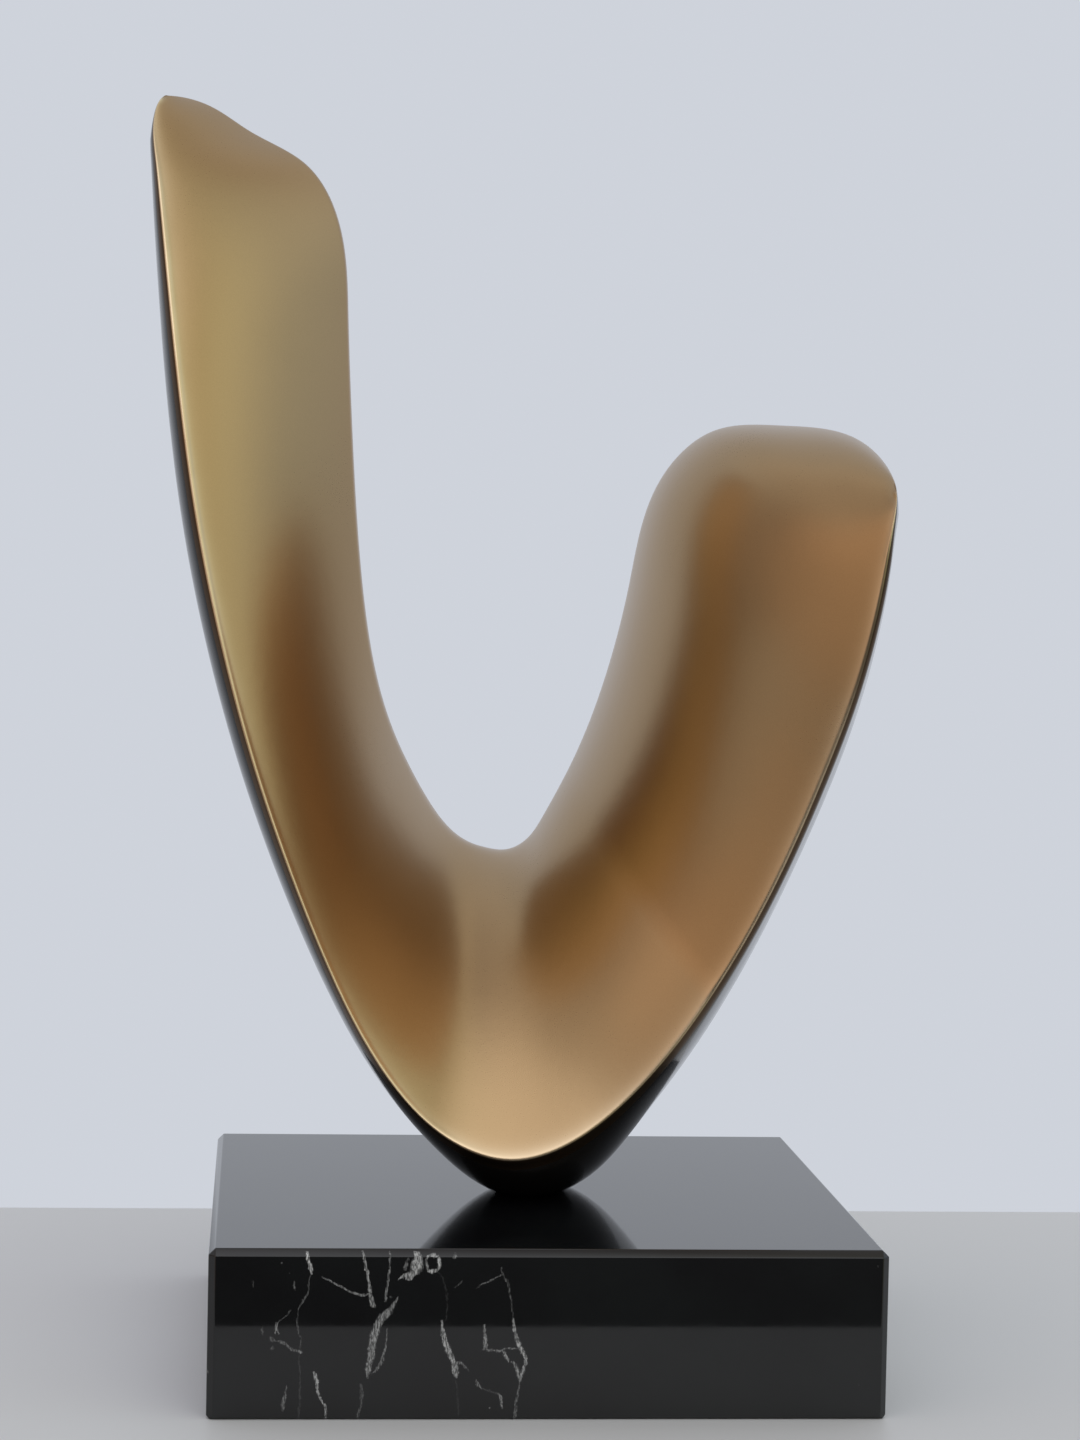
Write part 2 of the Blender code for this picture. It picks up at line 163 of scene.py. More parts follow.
# White veins on the left half of the plinth's front face, as brush strokes in millimetres. Each
# has its run ("down" the face, "across" it or a "spot"), how white it is, and its points: x, z
# and the stroke's width there.
VEINS = (
    ("down", 0.85, ((-71.6, 49.3, 0.9), (-71, 46.6, 0.9), (-70.4, 44.9, 1.3), (-70.2, 42.8, 0.4))),
    ("down", 0.28, ((-70.2, 43.2, 0.3), (-70.8, 40.3, 0.3), (-71.1, 37.4, 0.4),
                    (-72, 35.7, 0.7), (-73.3, 33.2, 0.4), (-73.9, 30.7, 0.3),
                    (-73.7, 26.1, 0.3), (-72.8, 23.1, 0.4), (-73.2, 20.6, 0.7))),
    ("spot", 0.80, ((-73.1, 20.2, 1.3),)),
    ("down", 0.13, ((-73.1, 20, 0.5), (-73.3, 17.3, 0.4), (-72.9, 11, 0.4), (-73.1, -0.2, 0.5))),
    ("down", 0.62, ((-69.1, 14.5, 0.4), (-68.3, 12.4, 1.3), (-67.9, 10.2, 0.9),
                    (-67.4, 7.6, 0.7), (-66.4, 5.5, 0.6), (-65.3, 3.6, 0.7), (-65.1, 2, 0.5),
                    (-65.5, -0.2, 0.4))),
    ("down", 0.33, ((-76.7, 10.1, 0.3), (-77.2, 7.6, 0.6), (-77.6, 5.3, 1.2), (-77.7, 2.6, 0.4))),
    ("down", 0.25, ((-76.1, 32.6, 0.4), (-76.7, 30.9, 0.3), (-78.4, 29.7, 0.5),
                    (-79.8, 28.4, 0.4))),
    ("down", 0.42, ((-80, 28.8, 0.4), (-79.9, 27.7, 0.6), (-80.4, 25.2, 0.3))),
    ("down", 0.40, ((-79.9, 27.9, 0.4), (-79.3, 25, 0.3))),
    ("across", 0.30, ((-82.1, 24.1, 0.9), (-81.2, 23.7, 1.5), (-80, 23.5, 0.4), (-78, 22.8, 1),
                      (-76.5, 21.5, 0.6), (-75.3, 20.8, 0.9), (-73.6, 20.3, 0.9))),
    ("spot", 0.28, ((-81.1, 21.2, 1.2),)),
    ("down", 0.22, ((-84.2, 27.6, 0.3), (-84.1, 26.5, 0.6), (-84.1, 25, 0.3))),
    ("spot", 0.30, ((-78.8, 46.1, 0.6),)),
    ("down", 0.32, ((-74.9, 40.8, 0.4), (-74.9, 39.7, 0.5), (-75, 38.2, 0.3))),
    ("spot", 0.16, ((-76.4, 43, 0.6),)),
    ("down", 0.15, ((-87.1, 40.8, 0.4), (-86.8, 39, 0.4))),
    ("across", 0.50, ((-67.3, 42.1, 0.5), (-66, 41.6, 0.4), (-63.2, 40.1, 0.6),
                      (-60.3, 38.6, 0.6), (-57.7, 37.2, 0.7), (-56.1, 36.8, 0.7),
                      (-53.3, 37.2, 0.6))),
    ("down", 0.60, ((-55.3, 49.4, 0.7), (-54.6, 46.1, 0.7), (-53.8, 42.6, 0.7),
                    (-53.2, 39.3, 0.8), (-53, 37.2, 1.1), (-52.4, 35, 1.5), (-51.7, 33.1, 0.9))),
    ("down", 0.45, ((-47.4, 49.4, 0.4), (-47.4, 45.3, 0.4), (-47.7, 41.5, 0.6),
                    (-48.3, 37.7, 0.7), (-48.5, 34.7, 0.6))),
    ("down", 0.70, ((-39.7, 49.4, 1.5), (-39.4, 48.3, 2.1), (-39.4, 46.8, 3.2),
                    (-39.5, 45, 3.8), (-40, 43.6, 3.5), (-41.2, 42.2, 2.6), (-42, 41.2, 0.9))),
    ("across", 0.60, ((-45, 41.4, 0.4), (-43.2, 42.4, 1.2), (-41.5, 42.8, 2.1),
                      (-40.3, 43.6, 1.8))),
    ("down", 0.35, ((-42.2, 47.7, 0.7), (-42.7, 45.6, 0.9), (-42.8, 43.9, 0.6))),
    ("down", 0.50, ((-44.7, 36.4, 0.4), (-46.1, 33.9, 1.2), (-47.4, 32.3, 2.3),
                    (-48.7, 30.8, 3.5), (-50.3, 28.5, 2.6), (-51.3, 25.8, 2.3),
                    (-52.1, 22.5, 2.3), (-52.4, 19.2, 2.1), (-53, 16, 1.8), (-53.3, 12.1, 0.4))),
    ("spot", 0.30, ((-46.9, 36.2, 0.9),)),
    ("down", 0.22, ((-55.3, 10.9, 0.6), (-54.9, 7.8, 1.1), (-55.1, 5.1, 0.6), (-56.5, -0.2, 0.9))),
    ("down", 0.38, ((-47.8, 27.1, 0.4), (-48.1, 22.5, 0.5), (-48.6, 19.8, 0.6),
                    (-49.4, 17.1, 1.3), (-50.3, 15.4, 0.7), (-52.2, 13.6, 0.3))),
    ("spot", 0.55, ((-28.5, 48.1, 1.2),)),
    ("down", 0.10, ((-33.4, 43.9, 0.4), (-30.8, 37.7, 0.6), (-30.6, 31.2, 0.4),
                    (-31.8, 28.9, 0.3))),
    ("down", 0.62, ((-31.9, 29.5, 0.5), (-31.7, 27.1, 1), (-31.3, 24.7, 1.2),
                    (-30.4, 21.7, 1.8), (-29.6, 19.8, 1.8), (-28.5, 17.6, 1.5),
                    (-27.9, 15.4, 1.8), (-27.7, 12.4, 0.4))),
    ("down", 0.10, ((-27.7, 12.7, 0.3), (-26.9, 5.9, 0.5), (-26.8, 0.6, 0.4))),
    ("across", 0.38, ((-28.7, 15.8, 0.6), (-26.6, 16.8, 0.9), (-24.9, 15.7, 0.8),
                      (-23.7, 14.2, 0.3))),
    ("down", 0.36, ((-21.6, 12.1, 0.3), (-20.8, 10, 1.1), (-19.5, 9, 0.4))),
    ("across", 0.20, ((-19.8, 9.3, 0.4), (-17.5, 8.6, 0.5), (-15.1, 7.8, 0.5))),
    ("down", 0.44, ((-15.1, 8, 0.4), (-14.4, 6.8, 1.1), (-14.2, 5.6, 0.9), (-13.6, 3.3, 0.4))),
    ("across", 0.42, ((-22.2, 39.1, 0.4), (-19.2, 40.5, 0.5), (-16.5, 41.9, 0.5),
                      (-14.4, 43, 0.5))),
    ("down", 0.26, ((-14.9, 45.4, 0.3), (-14.4, 43, 0.5), (-13, 40.8, 0.7), (-12.4, 38.3, 0.5),
                    (-11.8, 35.1, 0.4), (-11.2, 30.4, 0.4))),
    ("down", 0.62, ((-11.2, 30.4, 0.4), (-10.9, 27.5, 0.9), (-10.2, 24.7, 1.1),
                    (-9.2, 22, 1.6), (-8, 19.8, 1.2), (-7.2, 17.6, 0.8), (-7.8, 14.9, 0.9),
                    (-8.6, 11.5, 0.4))),
    ("down", 0.30, ((-8.8, 11.8, 0.3), (-9.4, 8.3, 0.4), (-9.6, 6.7, 0.7), (-9.9, 2.9, 0.8),
                    (-10.2, -0.3, 0.6))),
    ("down", 0.50, ((-19.6, 28.2, 0.4), (-19.4, 25.3, 0.7), (-19.1, 22.5, 1.1),
                    (-19.2, 20.5, 1.3))),
    ("across", 0.38, ((-19.5, 21.1, 0.7), (-16.6, 20.5, 0.6), (-14.8, 20.3, 0.7),
                      (-12.8, 21.1, 0.4), (-9.8, 21, 0.5))),
    ("down", 0.50, ((-13.9, 20.5, 0.9), (-13.3, 19.3, 1.2), (-12.2, 17.1, 0.3))),
    ("down", 0.48, ((-11.2, 17.3, 0.9), (-9.7, 15.2, 1.2), (-9.2, 13.2, 0.9), (-8.8, 11.2, 0.3))),
    ("across", 0.22, ((-28.7, 39, 0.3), (-27.4, 39.9, 0.5), (-26, 41, 0.3))),
    ("spot", 1.00, ((-17.5, 3.5, 0.4),)),
    ("spot", 0.70, ((91.5, 10.3, 0.4),)),
    ("spot", 0.35, ((96.3, 45.7, 0.5),)),
    ("down", 0.50, ((-36.2, 48.4, 0.4), (-36.7, 47.1, 0.6), (-36.6, 45.3, 0.6), (-36, 43.9, 0.4))),
    ("down", 0.75, ((-33.9, 48.6, 0.6), (-33.2, 47.4, 0.9), (-33.1, 45.3, 1.1), (-33.8, 43.6, 0.7))),
    ("across", 0.70, ((-36.9, 44.6, 0.4), (-35.7, 43.8, 0.9), (-34.2, 43.9, 1), (-33.2, 44.8, 0.7))),
    ("across", 0.60, ((-36.6, 48, 0.6), (-35.5, 48.3, 0.8), (-34, 48.3, 0.8), (-33.1, 47.7, 0.6))),
)

# The ends of a stroke fade over this share of its run
STROKE_FADE = 0.05
# Widths are drawn on a scale up to this one, in millimetres
WIDEST_STROKE = 4.5
# The strokes' edges wander: noise scale, and its reach in millimetres
RAGGED_EDGES = ((500, 1.0), (1600, 0.8), (5000, 0.5))
VEIN_COLOUR = (0.66, 0.68, 0.70, 1)
# Faint veins are weakened by this power of their whiteness
VEIN_CONTRAST = 1.5
# The front's veins end this far round its edges, and the top has none
VEIN_MARGIN = 0.0015

# Floor slab under the plinth
FLOOR_WIDTH = 3.0
FLOOR_DEPTH = 0.44

# The surroundings: the backdrop fills the directions with y above its fade, and the ground in
# front those with z below its fade
BACKDROP_COLOUR = (0.62, 0.65, 0.71, 1)
BACKDROP_FADE = (-0.1, 0.6)
ROOM_COLOUR = (0.25, 0.20, 0.18, 1)
GROUND_COLOUR = (0.07, 0.07, 0.07, 1)
GROUND_FADE = (-0.02, 0.18)
# Soft lights: azimuth from straight in front to the right, elevation and reach in degrees, colour
SOFT_LIGHTS = (
    (0, 50, 40, (0.90, 0.95, 1.05)),
    (-40, 45, 40, (0.30, 0.30, 0.30)),
    (40, 45, 40, (0.15, 0.20, 0.15)),
    (0, 90, 40, (0.20, 0.20, 0.20)),
    (10, 20, 35, (0.55, 0.55, 0.55)),
    (50, 10, 40, (0.40, 0.40, 0.20)),
    (80, 20, 40, (0.30, 0.45, 0.55)),
    (85, 50, 40, (0.25, 0.25, 0.20)),
    (-85, 50, 40, (0.25, 0.25, 0.25)),
    (-60, 0, 40, (0.60, 0.45, 0.35)),
)

# Camera, at the photograph's viewing angle
CAMERA_PLACE = (-0.087, -1.0566, 0.2471)
CAMERA_YAW = 0.0836
CAMERA_PITCH = 0.0439
CAMERA_ROLL = 0.0204
CAMERA_LENS = 82.925
CAMERA_SENSOR = 36


class SmoothCurve:
    """Cubic curve without kinks through a list of points, open or closed."""

    def __init__(self, points, gaps):
        self.points = np.array(points, dtype=float)
        self.starts = np.concatenate(([0.0], np.cumsum(gaps)))
        count = len(self.points)
        system = np.zeros((count, count))
        target = np.zeros(self.points.shape)
        for left, gap in enumerate(gaps):
            right = (left + 1) % count
            rise = 3 * (self.points[right] - self.points[left]) / gap**2
            for here, there in ((left, right), (right, left)):
                system[here, here] += 2 / gap
                system[here, there] += 1 / gap
                target[here] += rise
        self.slopes = np.linalg.solve(system, target)

    def at(self, ways):
        """Points of the curve at these distances along it."""
        piece = np.searchsorted(self.starts, ways, side="right") - 1
        piece = np.clip(piece, 0, len(self.starts) - 2)
        following = (piece + 1) % len(self.points)
        gap = (self.starts[piece + 1] - self.starts[piece])[:, None]
        s = (ways - self.starts[piece])[:, None] / gap
        return ((2 * s**3 - 3 * s**2 + 1) * self.points[piece]
                + (s**3 - 2 * s**2 + s) * gap * self.slopes[piece]
                + (3 * s**2 - 2 * s**3) * self.points[following]
                + (s**3 - s**2) * gap * self.slopes[following])


def smooth_step(values, low, high):
    """From 0 below the low value to 1 above the high one, without a kink."""
    share = np.clip((values - low) / (high - low), 0, 1)
    return share**2 * (3 - 2 * share)


def part_shares(station):
    """How far each section belongs to the left arm, the bowl and the right arm."""
    left = 1 - smooth_step(station, *LEFT_JOIN)
    right = smooth_step(station, *RIGHT_JOIN)
    return np.stack((left, 1 - left - right, right))


def plain_depth(width, height, fading_width):
    return (DEPTH_AT_FOOT - DEPTH_LOST_PER_METRE * height) * (1 - np.exp(-width / fading_width))


def front_and_depth(station, width, height):
    """How far back each section's rim lies, and the section's depth from there."""
    shares = part_shares(station)
    depth = plain_depth(width, height, np.dot(DEPTH_WIDTHS, shares))
    depth = depth * np.dot(DEPTH_TIMES, shares)
    up = np.maximum(height - LEAN_FROM, 0)
    lean = np.dot(LEAN, shares) * up + np.dot(BEND, shares) * up**2
    pressed = BOWL_BACK * np.exp(-((station - BOWL_SECTION) / BOWL_REACH)**2)
    front = lean + pressed - RIM_FORWARD - np.dot(RIM_FORWARD_SHARES, shares) * depth
    return front, depth


def along_sight(points, drawn_back, real_back):
    """Front-view points moved along their lines of sight to where they really lie."""
    eye = np.array((EYE[0], EYE[2]))
    share = (real_back - EYE[1]) / (drawn_back - EYE[1])
    return eye + (points - eye) * share[:, None]


def real_front_view():
    """Rim points and crest points of all sections, with a tip at both ends."""
    table = np.array(SECTIONS)
    rims, crests = table[:, 0:2], table[:, 2:4]
    width = np.linalg.norm(crests - rims, axis=1)
    height = (rims[:, 1] + crests[:, 1]) / 2
    drawn = plain_depth(width, height, DRAWN_DEPTH_WIDTH)
    station = np.arange(1, len(table) + 1)
    front, depth = front_and_depth(station, width, height)
    crest_back = front + np.dot(CREST_SHARES, part_shares(station)) * depth
    rims = along_sight(rims, DRAWN_RIM_SHARE * drawn - RIM_FORWARD, front)
    crests = along_sight(crests, DRAWN_CREST_SHARE * drawn - RIM_FORWARD, crest_back)
    tips = along_sight(np.array((LEFT_TIP, RIGHT_TIP)), np.full(2, -RIM_FORWARD), front[[0, -1]])
    return np.vstack((tips[:1], rims, tips[1:])), np.vstack((tips[:1], crests, tips[1:]))


def front_outline():
    """Closed front outline, and the way round it to each section's rim and crest."""
    rims, crests = real_front_view()
    points = np.vstack((rims, crests[-2:0:-1]))
    gaps = np.linalg.norm(np.roll(points, -1, axis=0) - points, axis=1)
    outline = SmoothCurve(points, gaps)
    rim_ways = outline.starts[:len(rims)]
    crest_ways = outline.starts[:len(rims) - 2:-1]
    return outline, rim_ways, crest_ways


def face_profile(share, station):
    """How far back the gold face lies at a share of the width, as a share of the depth."""
    parts = part_shares(station)
    slope = np.dot(FACE_SLOPES, parts)
    across_power = np.dot(FACE_ACROSS_POWERS, parts)
    back_power = np.dot(FACE_BACK_POWERS, parts)
    turned = 1 - (1 - share**across_power)**(1 / back_power)
    bulge = np.dot(FACE_BULGES, parts) * share * (1 - share)
    return FACE_DEPTH_SHARE * (slope * share + (1 - slope) * turned + bulge)


def section_controls(station, width, swell, depth):
    """Control points of every section, each as distances across, outwards and back."""
    lip = np.minimum(LIP_SIZE, LIP_SHARE * width)
    none = np.zeros_like(width)
    slope = np.dot(FACE_SLOPES, part_shares(station))
    rim_edge = [(-0.2 * lip, 0.6 * lip, 0.3 * lip + 0.01 * depth),
                (0.6 * lip, none, -0.5 * lip),
                (lip + 0.012 * width, none, -0.1 * lip + 0.02 * slope * depth)]
    face = [(share * width, none, face_profile(share, station) * depth) for share in FACE_SHARES]
    profile = [(across * width, outward * swell, back * depth)
               for across, outward, back in CREST_PROFILE + HULL_PROFILE]
    return np.array(rim_edge + face + profile)


def closed_b_spline(controls, points_per_control):
    """Smooth closed curve drawn by its control points, which run along the first axis."""
    before = np.roll(controls, 1, axis=0)
    after = np.roll(controls, -1, axis=0)
    later = np.roll(controls, -2, axis=0)
    steps = []
    for s in np.arange(points_per_control) / points_per_control:
        steps.append(((1 - s)**3 * before + (3 * s**3 - 6 * s**2 + 4) * controls
                      + (1 + 3 * s + 3 * s**2 - 3 * s**3) * after + s**3 * later) / 6)
    return np.stack(steps, axis=1).reshape(-1, *controls.shape[1:])


def form_rings(ring_count, points_per_control):
    """Points of the casting's surface: rings from the left tip to the right one."""
    outline, rim_ways, crest_ways = front_outline()
    last = len(SECTIONS) + 1
    unit_gaps = np.ones(last)
    ways = SmoothCurve(np.stack((rim_ways, crest_ways), axis=1), unit_gaps)
    swells = [row[4] for row in SECTIONS]
    swell_curve = SmoothCurve([[s] for s in (swells[0], *swells, swells[-1])], unit_gaps)

    share = np.arange(1, ring_count + 1) / (ring_count + 1)
    station = last * (share - RING_CROWDING * np.sin(2 * np.pi * share) / (2 * np.pi))
    shift_fade = np.exp(-((station - CREST_SHIFT_SECTION) / CREST_SHIFT_REACH)**2)
    rim_way = ways.at(station)[:, 0]
    crest_way = ways.at(station + CREST_SHIFT * shift_fade)[:, 1]
    rim = outline.at(rim_way)
    crest = outline.at(crest_way)
    small_step = 0.0001
    along = outline.at(rim_way + small_step) - outline.at(rim_way - small_step)
    along /= np.linalg.norm(along, axis=1)[:, None]
    outward = np.stack((along[:, 1], -along[:, 0]), axis=1)
    across = crest - rim
    width = np.linalg.norm(across, axis=1)
    across /= width[:, None]
    height = (rim[:, 1] + crest[:, 1]) / 2
    front, depth = front_and_depth(station, width, height)
    swell = swell_curve.at(station)[:, 0] * np.minimum(1, width / SWELL_FULL_WIDTH)

    controls = section_controls(station, width, swell, depth)
    distances = closed_b_spline(controls, points_per_control)
    inwards, outwards, back = distances[:, 0], distances[:, 1], distances[:, 2]
    x = rim[:, 0] + inwards * across[:, 0] + outwards * outward[:, 0]
    z = rim[:, 1] + inwards * across[:, 1] + outwards * outward[:, 1]
    return np.stack((x, front + back, z), axis=2)


def new_object(name, mesh):
    obj = bpy.data.objects.new(name, mesh)
    bpy.context.scene.collection.objects.link(obj)
    return obj


def node(tree, kind, inputs=None, **settings):
    """A new shader node. Inputs are filled by name or number, from a value or from an output."""
    made = tree.nodes.new("ShaderNode" + kind)
    for name, value in settings.items():
        setattr(made, name, value)
    for key, value in (inputs or {}).items():
        if isinstance(value, bpy.types.NodeSocket):
            tree.links.new(value, made.inputs[key])
        else:
            made.inputs[key].default_value = value
    return made


def calc(tree, operation, *values):
    """The result of a Math node."""
    return node(tree, "Math", dict(enumerate(values)), operation=operation).outputs[0]


def remap(tree, value, from_low, from_high, to_low=0, to_high=1, kind="LINEAR"):
    """A value moved from one range to another, and kept inside it."""
    made = node(tree, "MapRange", {0: value, 1: from_low, 2: from_high, 3: to_low, 4: to_high},
                interpolation_type=kind)
    return made.outputs[0]


def noise(tree, place, scale, detail=2, roughness=0.5):
    """Noise from 0 to 1, with its middle at about 0.5."""
    made = node(tree, "TexNoise", {"Vector": place, "Scale": scale, "Detail": detail,
                                   "Roughness": roughness})
    return made.outputs[0]


def mix_colour(tree, share, first, second):
    made = node(tree, "Mix", {0: share, 6: first, 7: second}, data_type="RGBA")
    return made.outputs[2]


def new_material(name):
    """A material with its node tree, its main shader and the object's own coordinates."""
    made = bpy.data.materials.new(name)
    made.use_nodes = True
    tree = made.node_tree
    place = node(tree, "TexCoord").outputs["Object"]
    return made, tree, tree.nodes["Principled BSDF"], place


def set_inputs(shader, inputs):
    for name, value in inputs.items():
        shader.inputs[name].default_value = value


def painted_rim_highlight_and_shade(tree):
    """How strongly a painted highlight lightens the gold inside the rim's corner, and how much
    painted shade darkens it outside.
    """
    distance = node(tree, "Attribute", attribute_name=CORNER_DISTANCE).outputs["Fac"]
    # Painted highlight: strongest just inside the corner, fading inwards
    inwards = calc(tree, "MAXIMUM", calc(tree, "SUBTRACT", distance, PAINTED_HIGHLIGHT_PEAK), 0)
    painted_highlight = calc(tree, "EXPONENT", calc(tree, "DIVIDE", inwards, -PAINTED_HIGHLIGHT_FADE))
    # Painted shade: a dark band just outside the rim's corner
    painted_shade = remap(tree, distance, -PAINTED_SHADE_BAND, 0, 1, 0, "SMOOTHSTEP")
    return painted_highlight, painted_shade


def satin_gold():
    """Gold lacquer with fine metal flake under a satin clear coat."""
    made, tree, shader, place = new_material("satin_gold_lacquer")
    flake = noise(tree, place, 2600, 1)
    cloud = noise(tree, place, 14, 3)
    tone = calc(tree, "ADD", calc(tree, "MULTIPLY", flake, 0.5), calc(tree, "MULTIPLY", cloud, 0.5))
    colour = mix_colour(tree, remap(tree, tone, 0.3, 0.7), (0.375, 0.25, 0.125, 1),
                        (0.425, 0.285, 0.145, 1))
    # Painted highlight inside the rim's corner, broken up by noise, and painted shade outside it
    painted_highlight, painted_shade = painted_rim_highlight_and_shade(tree)
    painted_highlight_breakup = remap(tree, noise(tree, place, 60, 3), 0.3, 0.7, 0.75, 1)
    colour = mix_colour(tree, calc(tree, "MULTIPLY", painted_highlight, painted_highlight_breakup), colour, PAINTED_HIGHLIGHT_GOLD)
    # Painted shade darkens the gold on the lip's outer side
    colour = mix_colour(tree, painted_shade, colour, PAINTED_SHADE_GOLD)
    tree.links.new(colour, shader.inputs["Base Color"])
    tree.links.new(remap(tree, tone, 0.3, 0.7, 0.27, 0.33), shader.inputs["Roughness"])
    peel = noise(tree, place, 240, 2)
    bump = node(tree, "Bump", {"Height": peel, "Strength": 0.03, "Distance": 0.001})
    tree.links.new(bump.outputs[0], shader.inputs["Normal"])
    set_inputs(shader, {"Metallic": 1, "Coat Weight": 0.3, "Coat Roughness": 0.33,
                        "Coat IOR": 1.45})
    return made


def gloss_black():
    """Polished black lacquer."""
    made, tree, shader, place = new_material("gloss_black_lacquer")
    cloud = noise(tree, place, 20, 3)
    colour = mix_colour(tree, cloud, (0.0045, 0.0040, 0.0042, 1), (0.0075, 0.0066, 0.0066, 1))
    tree.links.new(colour, shader.inputs["Base Color"])
    tree.links.new(remap(tree, noise(tree, place, 90, 3), 0.3, 0.7, 0.09, 0.13),
                   shader.inputs["Roughness"])
    bump = node(tree, "Bump", {"Height": noise(tree, place, 300, 2), "Strength": 0.02,
                               "Distance": 0.001})
    tree.links.new(bump.outputs[0], shader.inputs["Normal"])
    return made


def stroke_curves(tree, along, points, kind):
    """A stroke's middle line, width and fade-out at its ends, each read from a drawn curve."""
    table = np.array(points)
    ways, sides = (table[:, 1], table[:, 0]) if kind == "down" else (table[:, 0], table[:, 1])
    share = (ways - ways[0]) / (ways[-1] - ways[0])
    low, high = sides.min() - 0.5, sides.max() + 0.5
    fade = [(0, 0), (STROKE_FADE, 1), (1 - STROKE_FADE, 1), (1, 0)]
    drawn = (list(zip(share, (sides - low) / (high - low))),
             list(zip(share, table[:, 2] / WIDEST_STROKE)), fade)
    curves = node(tree, "RGBCurve", {"Color": remap(tree, along, ways[0], ways[-1])})
    for curve, curve_points in zip(curves.mapping.curves, drawn):
        curve.points[0].location = curve_points[0]
        curve.points[1].location = curve_points[-1]
        for point in curve_points[1:-1]:
            curve.points.new(*point)
    curves.mapping.update()
    middle, width, strength = node(tree, "SeparateColor", {0: curves.outputs[0]}).outputs
    middle = remap(tree, middle, 0, 1, low, high)
    return middle, calc(tree, "MULTIPLY", width, WIDEST_STROKE), strength


def stroke_white(tree, face, kind, white, points):
    """How white one stroke makes the stone, from 0 to 1."""
    x, _, z = node(tree, "SeparateXYZ", {0: face}).outputs
    if kind == "spot":
        (at_x, at_z, width), = points
        distance = node(tree, "VectorMath", {0: face, 1: (at_x, 0, at_z)}, operation="DISTANCE")
        return remap(tree, distance.outputs["Value"], 0.2 * width, 0.7 * width, white, 0,
                     "SMOOTHSTEP")
    along, sideways = (z, x) if kind == "down" else (x, z)
    middle, width, strength = stroke_curves(tree, along, points, kind)
    distance = calc(tree, "ABSOLUTE", calc(tree, "SUBTRACT", sideways, middle))
    core = calc(tree, "MULTIPLY", width, 0.3)
    edge = calc(tree, "MULTIPLY_ADD", width, 0.6, 0.08)
    return remap(tree, distance, core, edge, calc(tree, "MULTIPLY", strength, white), 0,
                 "SMOOTHSTEP")


def front_veins(tree, place):
    """How white the veins on the front face make the stone."""
    face = node(tree, "VectorMath", {0: place, 1: (1000, 0, 1000)}, operation="MULTIPLY")
    for scale, reach in RAGGED_EDGES:
        wobble = node(tree, "TexNoise", {"Vector": place, "Scale": scale, "Detail": 1})
        centred = node(tree, "VectorMath", {0: wobble.outputs[1], 1: (0.5, 0.5, 0.5)},
                       operation="SUBTRACT")
        face = node(tree, "VectorMath", {0: centred.outputs[0], 1: (reach, 0, reach),
                                         2: face.outputs[0]}, operation="MULTIPLY_ADD")
    white = 0.0
    for kind, strength, points in VEINS:
        stroke = stroke_white(tree, face.outputs[0], kind, strength, points)
        white = calc(tree, "MAXIMUM", white, stroke)
    stretched = node(tree, "VectorMath", {0: place, 1: (2400, 2400, 650)}, operation="MULTIPLY")
    streaks = noise(tree, stretched.outputs[0], 1, 3, 0.6)
    white = calc(tree, "MULTIPLY", white, remap(tree, streaks, 0.42, 0.58, 0.3, 1))
    is_front = calc(tree, "LESS_THAN", node(tree, "SeparateXYZ", {0: place}).outputs[1],
                    VEIN_MARGIN - PLINTH_SIDE / 2)
    return calc(tree, "MULTIPLY", white, is_front)


def side_veins(tree, place):
    """Fewer and fainter veins on the sides and the back, which the photograph doesn't show."""
    wobble = node(tree, "TexNoise", {"Vector": place, "Scale": 40, "Detail": 4})
    bent = node(tree, "VectorMath", {0: wobble.outputs[1], 1: (0.03, 0.03, 0.03), 2: place},
                operation="MULTIPLY_ADD")
    cracks = node(tree, "TexVoronoi", {"Vector": bent.outputs[0], "Scale": 34},
                  feature="DISTANCE_TO_EDGE").outputs[0]
    line = remap(tree, cracks, 0.002, 0.014, 0.5, 0, "SMOOTHSTEP")
    patch = remap(tree, noise(tree, place, 26, 2), 0.53, 0.64, 0, 1, "SMOOTHSTEP")
    _, y, z = node(tree, "SeparateXYZ", {0: place}).outputs
    is_side = calc(tree, "MULTIPLY", calc(tree, "GREATER_THAN", y, VEIN_MARGIN - PLINTH_SIDE / 2),
                   calc(tree, "LESS_THAN", z, PLINTH_HEIGHT - VEIN_MARGIN))
    return calc(tree, "MULTIPLY", calc(tree, "MULTIPLY", line, patch), is_side)


def black_marble():
    """Polished black marble with white veins."""
    made, tree, shader, place = new_material("polished_black_marble")
    stone = mix_colour(tree, remap(tree, noise(tree, place, 25, 4), 0.35, 0.65),
                       (0.0035, 0.0035, 0.0042, 1), (0.0060, 0.0070, 0.0076, 1))
    white = calc(tree, "MAXIMUM", front_veins(tree, place), side_veins(tree, place))
    white = calc(tree, "POWER", white, VEIN_CONTRAST)
    tree.links.new(mix_colour(tree, white, stone, VEIN_COLOUR), shader.inputs["Base Color"])
    rough = calc(tree, "ADD", remap(tree, noise(tree, place, 120, 3), 0.3, 0.7, 0.035, 0.06),
                 calc(tree, "MULTIPLY", white, 0.12))
    tree.links.new(rough, shader.inputs["Roughness"])
    return made


def casting_points():
    """The smooth form's rings in the part's frame, drawn in a hair to stay inside the CAD solid."""
    rings = form_rings(RINGS, POINTS_PER_CONTROL)
    cos, sin = math.cos(FORM_TURN), math.sin(FORM_TURN)
    turned = np.stack((rings[..., 0] * cos - rings[..., 1] * sin + FOOT_X,
                       rings[..., 0] * sin + rings[..., 1] * cos + FOOT_Y,
                       rings[..., 2] + PLINTH_HEIGHT), axis=2)
    middle = (turned.max(axis=(0, 1)) + turned.min(axis=(0, 1))) / 2
    return middle + (turned - middle) * SKIN_SCALE


